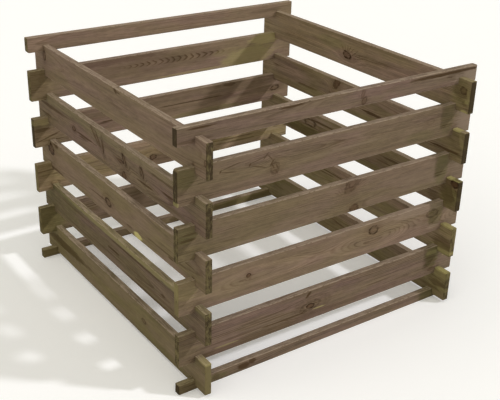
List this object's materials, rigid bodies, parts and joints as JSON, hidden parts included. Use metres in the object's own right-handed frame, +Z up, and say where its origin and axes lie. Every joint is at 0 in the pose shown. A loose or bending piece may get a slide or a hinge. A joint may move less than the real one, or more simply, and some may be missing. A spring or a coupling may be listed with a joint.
{
  "type": "slotted timber compost bin",
  "caption": "Open-slatted square wooden compost bin whose notched boards cross and interlock at the corners, each course lifting off upwards, open at the top and to the soil below.",
  "frame": {"origin": "on the ground, in the middle of the square that the bin stands on", "axes": "+Z up; front wall at -Y, back wall at +Y, left wall at -X, right wall at +X; boards of front and back run along X, those of the sides along Y"},
  "size_m": [1, 1, 0.753],
  "materials": {
    "front_back_pine": "weathered, pressure-treated, planed pine, matt",
    "side_pine": "weathered, pressure-treated, planed pine, matt",
    "strip_pine": "weathered, pressure-treated, planed pine, matt"
  },
  "bodies": {
    "base": {"front_bottom_strip": "strip_pine", "back_bottom_strip": "strip_pine"},
    "side_course_1": {"left_board_1": "side_pine", "right_board_1": "side_pine"},
    "front_back_course_1": {"front_board_1": "front_back_pine", "back_board_1": "front_back_pine"},
    "side_course_2": {"left_board_2": "side_pine", "right_board_2": "side_pine"},
    "front_back_course_2": {"front_board_2": "front_back_pine", "back_board_2": "front_back_pine"},
    "side_course_3": {"left_board_3": "side_pine", "right_board_3": "side_pine"},
    "front_back_course_3": {"front_board_3": "front_back_pine", "back_board_3": "front_back_pine"},
    "side_course_4": {"left_board_4": "side_pine", "right_board_4": "side_pine"},
    "front_back_course_4": {"front_board_4": "front_back_pine", "back_board_4": "front_back_pine"},
    "side_course_5": {"left_board_5": "side_pine", "right_board_5": "side_pine"},
    "front_top_strip": {"front_top_strip": "strip_pine"},
    "back_top_strip": {"back_top_strip": "strip_pine"}
  },
  "joints": [
    {"name": "lift_side_course_1", "type": "slide", "parent": "base", "child": "side_course_1", "axis": [0, 0, 1], "range_m": [0, 0.06]},
    {"name": "lift_front_back_course_1", "type": "slide", "parent": "side_course_1", "child": "front_back_course_1", "axis": [0, 0, 1], "range_m": [0, 0.06]},
    {"name": "lift_side_course_2", "type": "slide", "parent": "front_back_course_1", "child": "side_course_2", "axis": [0, 0, 1], "range_m": [0, 0.06]},
    {"name": "lift_front_back_course_2", "type": "slide", "parent": "side_course_2", "child": "front_back_course_2", "axis": [0, 0, 1], "range_m": [0, 0.06]},
    {"name": "lift_side_course_3", "type": "slide", "parent": "front_back_course_2", "child": "side_course_3", "axis": [0, 0, 1], "range_m": [0, 0.06]},
    {"name": "lift_front_back_course_3", "type": "slide", "parent": "side_course_3", "child": "front_back_course_3", "axis": [0, 0, 1], "range_m": [0, 0.06]},
    {"name": "lift_side_course_4", "type": "slide", "parent": "front_back_course_3", "child": "side_course_4", "axis": [0, 0, 1], "range_m": [0, 0.06]},
    {"name": "lift_front_back_course_4", "type": "slide", "parent": "side_course_4", "child": "front_back_course_4", "axis": [0, 0, 1], "range_m": [0, 0.06]},
    {"name": "lift_side_course_5", "type": "slide", "parent": "front_back_course_4", "child": "side_course_5", "axis": [0, 0, 1], "range_m": [0, 0.06]},
    {"name": "lift_front_top_strip", "type": "slide", "parent": "side_course_5", "child": "front_top_strip", "axis": [0, 0, 1], "range_m": [0, 0.06]},
    {"name": "lift_back_top_strip", "type": "slide", "parent": "side_course_5", "child": "back_top_strip", "axis": [0, 0, 1], "range_m": [0, 0.06]}
  ]
}
